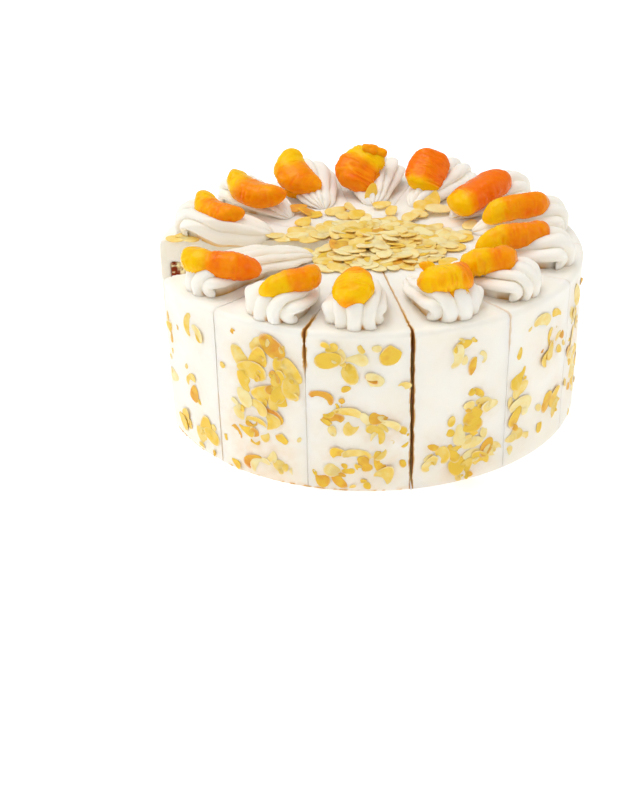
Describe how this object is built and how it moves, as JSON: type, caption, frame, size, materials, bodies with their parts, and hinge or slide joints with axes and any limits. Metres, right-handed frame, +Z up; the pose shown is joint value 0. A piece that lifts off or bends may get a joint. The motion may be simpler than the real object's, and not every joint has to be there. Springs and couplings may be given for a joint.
{
  "type": "rum cake",
  "caption": "Round layered sponge and cream cake cut into slices, one taken out, topped with piped shells, mandarin segments and flaked almonds.",
  "frame": {"origin": "centre of the cake's round foot, on the surface that it stands on", "axes": "+Z up along the cake's axis; -Y towards the camera's side, the front; +X to the right as seen from the front; the missing slice is at the left"},
  "size_m": [0.2432, 0.2441, 0.1168],
  "materials": {
    "whipped_cream": "soft white whipped cream, satin",
    "yellow_sponge": "open-crumbed yellow sponge, red-brown at its crusts",
    "mandarin_flesh": "moist translucent orange fruit",
    "flaked_almond": "pale to golden flaked almonds, some toasted"
  },
  "bodies": {
    "root": {"slice_01_sponge_bottom": "yellow_sponge", "slice_01_filling_lower": "whipped_cream", "slice_01_sponge_middle": "yellow_sponge", "slice_01_filling_upper": "whipped_cream", "slice_01_sponge_top": "yellow_sponge", "slice_01_cream_coat": "whipped_cream", "slice_02": "whipped_cream", "slice_03": "whipped_cream", "slice_04": "whipped_cream", "slice_05": "whipped_cream", "slice_06": "whipped_cream", "slice_07": "whipped_cream", "slice_08": "whipped_cream", "slice_09": "whipped_cream", "slice_10": "whipped_cream", "slice_11": "whipped_cream", "slice_12": "whipped_cream", "slice_13_sponge_bottom": "yellow_sponge", "slice_13_filling_lower": "whipped_cream", "slice_13_sponge_middle": "yellow_sponge", "slice_13_filling_upper": "whipped_cream", "slice_13_sponge_top": "yellow_sponge", "slice_13_cream_coat": "whipped_cream", "cream_shell_01": "whipped_cream", "mandarin_01": "mandarin_flesh", "cream_shell_02": "whipped_cream", "mandarin_02": "mandarin_flesh", "cream_shell_03": "whipped_cream", "mandarin_03": "mandarin_flesh", "cream_shell_04": "whipped_cream", "mandarin_04": "mandarin_flesh", "cream_shell_05": "whipped_cream", "mandarin_05": "mandarin_flesh", "cream_shell_06": "whipped_cream", "mandarin_06": "mandarin_flesh", "cream_shell_07": "whipped_cream", "mandarin_07": "mandarin_flesh", "cream_shell_08": "whipped_cream", "mandarin_08": "mandarin_flesh", "cream_shell_09": "whipped_cream", "mandarin_09": "mandarin_flesh", "cream_shell_10": "whipped_cream", "mandarin_10": "mandarin_flesh", "cream_shell_11": "whipped_cream", "mandarin_11": "mandarin_flesh", "cream_shell_12": "whipped_cream", "mandarin_12": "mandarin_flesh", "cream_shell_13": "whipped_cream", "mandarin_13": "mandarin_flesh", "almond_heap": "flaked_almond"}
  },
  "joints": []
}
